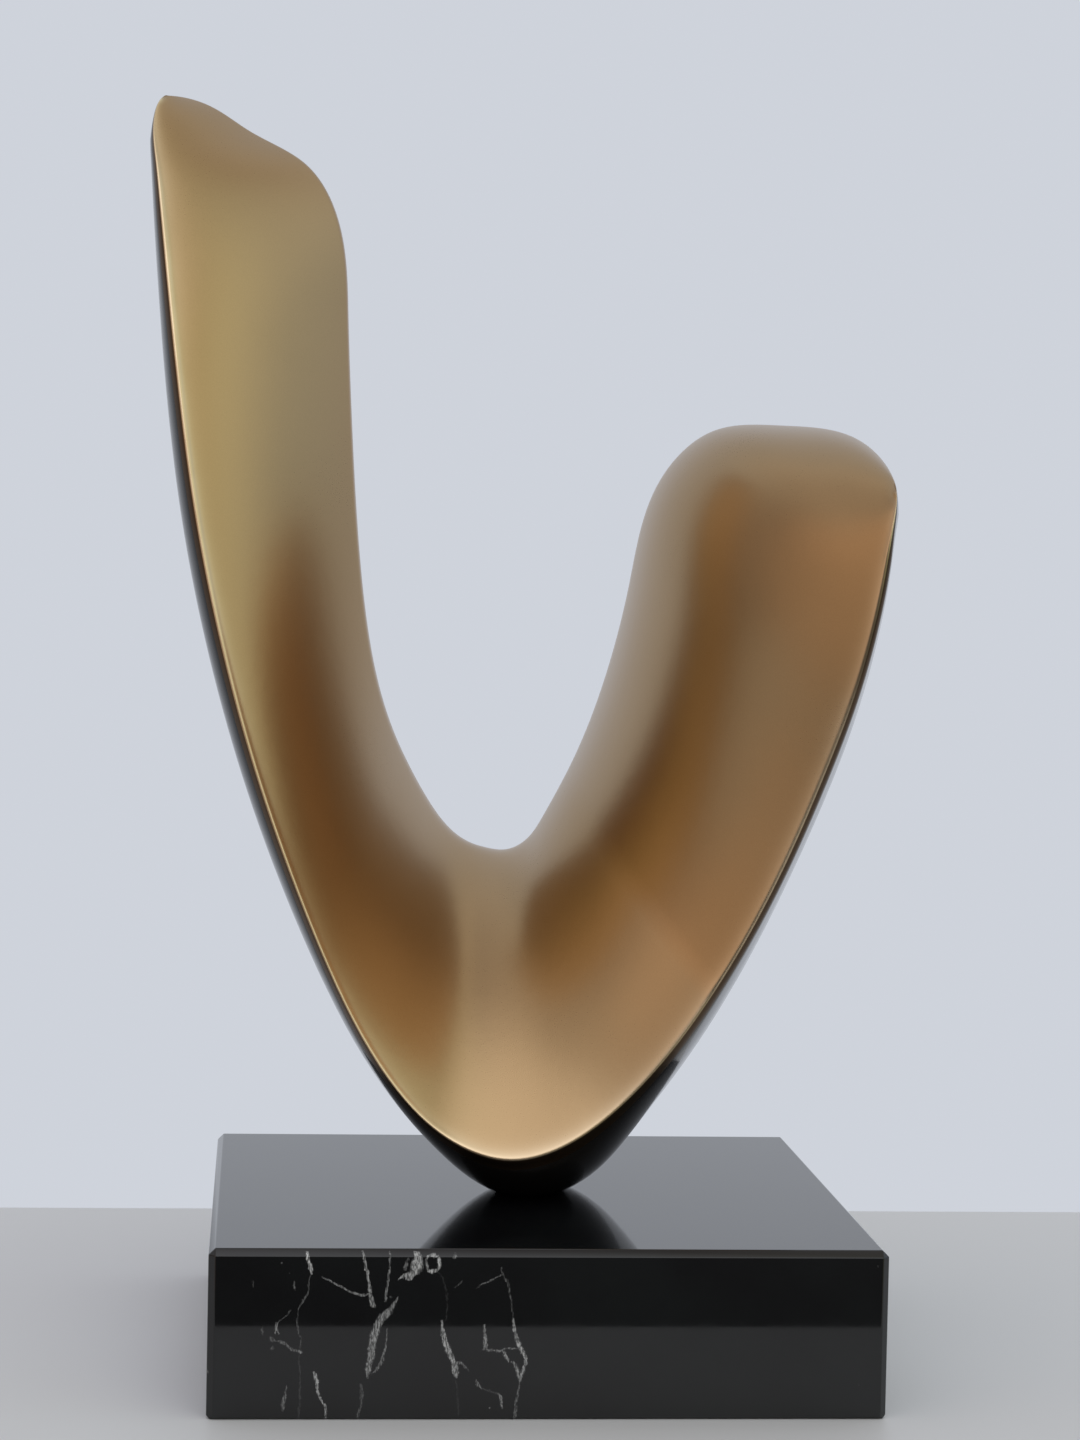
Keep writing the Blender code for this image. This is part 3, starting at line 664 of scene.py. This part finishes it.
def make_skin(name, points, first, last, material):
    """The form's surface between two places round its section, closed at both tips."""
    points_round, ring_count = points.shape[:2]
    rows = [points[i % points_round] for i in range(first, last + 1)]
    corner = points[round(CORNER_CONTROL * POINTS_PER_CONTROL)]
    bm = bmesh.new()
    from_corner = bm.verts.layers.float.new(CORNER_DISTANCE)
    verts = [[bm.verts.new(point) for point in row] for row in rows]
    for i, row in zip(range(first, last + 1), verts):
        side = 1 if i >= CORNER_CONTROL * POINTS_PER_CONTROL else -1
        for vert, distance in zip(row, np.linalg.norm(points[i % points_round] - corner, axis=1)):
            vert[from_corner] = side * distance
    for here, there in zip(verts, verts[1:]):
        for j in range(ring_count - 1):
            bm.faces.new((here[j], here[j + 1], there[j + 1], there[j]))
    for j in (0, ring_count - 1):
        tip = bm.verts.new(points[:, j].mean(axis=0))
        for here, there in zip(verts, verts[1:]):
            corners = (there[j], here[j], tip) if j else (here[j], there[j], tip)
            bm.faces.new(corners)
    everything = bm.verts[:] + bm.edges[:] + bm.faces[:]
    bmesh.ops.bisect_plane(bm, geom=everything, plane_co=(0, 0, PLINTH_HEIGHT + FOOT_GAP),
                           plane_no=(0, 0, -1), clear_outer=True)
    mesh = bpy.data.meshes.new(name)
    bm.to_mesh(mesh)
    bm.free()
    mesh.shade_smooth()
    mesh.materials.append(material)
    obj = new_object(name, mesh)
    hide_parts("v_form")
    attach(obj, "root")


def make_casting():
    """The casting as two skins that meet along the paint line: the gold face and the black hull."""
    points = casting_points()
    gold_from = round(-GOLD_BEFORE_LIP * POINTS_PER_CONTROL)
    gold_to = (LIP_CONTROLS + len(FACE_SHARES) + len(CREST_PROFILE)) * POINTS_PER_CONTROL
    make_skin("gold_face", points, gold_from, gold_to, satin_gold())
    make_skin("black_hull", points, gold_to, gold_from + len(points),
              gloss_black())


def dress_plinth(marble):
    """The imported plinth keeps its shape; its chamfers' edges get a fine rounding."""
    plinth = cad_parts["plinth"]
    plinth.data.materials.clear()
    plinth.data.materials.append(marble)
    weld = plinth.modifiers.new("weld", "WELD")
    weld.merge_threshold = 0.00002
    rounding = plinth.modifiers.new("rounding", "BEVEL")
    rounding.width = 0.0003
    rounding.segments = 3
    rounding.limit_method = "ANGLE"
    rounding.angle_limit = math.radians(20)
    rounding.harden_normals = True


def make_floor():
    bm = bmesh.new()
    bmesh.ops.create_grid(bm, x_segments=1, y_segments=1, size=1)
    bmesh.ops.scale(bm, vec=(FLOOR_WIDTH / 2, FLOOR_DEPTH / 2, 1), verts=bm.verts)
    mesh = bpy.data.meshes.new("floor")
    bm.to_mesh(mesh)
    bm.free()
    floor = new_object("floor", mesh)
    made, tree, shader, place = new_material("pale_floor")
    set_inputs(shader, {"Base Color": (0.62, 0.63, 0.65, 1), "Roughness": 0.5})
    mesh.materials.append(made)


def direction_towards(azimuth, elevation):
    """Unit vector to a place round the sculpture: azimuth 0 is straight out of its front."""
    azimuth, elevation = math.radians(azimuth), math.radians(elevation)
    return (math.sin(azimuth) * math.cos(elevation), -math.cos(azimuth) * math.cos(elevation),
            math.sin(elevation))


def make_world():
    """A pale backdrop behind the sculpture, a dim room in front of it and soft lights round it.

    The camera sees the plain backdrop from every side.
    """
    world = bpy.data.worlds.new("studio")
    bpy.context.scene.world = world
    world.use_nodes = True
    tree = world.node_tree
    towards = node(tree, "TexCoord").outputs["Generated"]
    _, y, z = node(tree, "SeparateXYZ", {0: towards}).outputs
    above_ground = remap(tree, z, *GROUND_FADE, 0, 1, "SMOOTHSTEP")
    on_backdrop = remap(tree, y, *BACKDROP_FADE, 0, 1, "SMOOTHSTEP")
    room = mix_colour(tree, above_ground, GROUND_COLOUR, ROOM_COLOUR)
    light = mix_colour(tree, on_backdrop, room, BACKDROP_COLOUR)
    for azimuth, elevation, reach, colour in SOFT_LIGHTS:
        facing = node(tree, "VectorMath", {0: towards, 1: direction_towards(azimuth, elevation)},
                      operation="DOT_PRODUCT").outputs["Value"]
        strength = remap(tree, facing, math.cos(math.radians(reach)), 1, 0, 1, "SMOOTHSTEP")
        light = node(tree, "VectorMath", {0: strength, 1: colour, 2: light},
                     operation="MULTIPLY_ADD").outputs[0]
    seen = node(tree, "LightPath").outputs["Is Camera Ray"]
    light = mix_colour(tree, seen, light, BACKDROP_COLOUR)
    tree.links.new(light, tree.nodes["Background"].inputs[0])


def make_camera():
    camera = bpy.data.cameras.new("camera")
    camera.lens = CAMERA_LENS
    camera.sensor_width = CAMERA_SENSOR
    camera.clip_start = 0.01
    obj = bpy.data.objects.new("camera", camera)
    bpy.context.scene.collection.objects.link(obj)
    obj.matrix_world = (Matrix.Translation(CAMERA_PLACE)
                        @ Matrix.Rotation(-CAMERA_YAW, 4, "Z")
                        @ Matrix.Rotation(math.pi / 2 - CAMERA_PITCH, 4, "X")
                        @ Matrix.Rotation(CAMERA_ROLL, 4, "Z"))
    bpy.context.scene.camera = obj


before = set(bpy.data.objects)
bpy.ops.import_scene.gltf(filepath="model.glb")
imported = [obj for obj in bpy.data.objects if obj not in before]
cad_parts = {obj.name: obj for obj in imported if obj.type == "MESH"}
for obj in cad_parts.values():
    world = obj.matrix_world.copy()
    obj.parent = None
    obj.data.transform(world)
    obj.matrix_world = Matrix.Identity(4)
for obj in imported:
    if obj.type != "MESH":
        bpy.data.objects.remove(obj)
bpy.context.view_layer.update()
make_camera()
make_casting()
dress_plinth(black_marble())
make_floor()
make_world()
bpy.context.scene.view_settings.view_transform = "Standard"
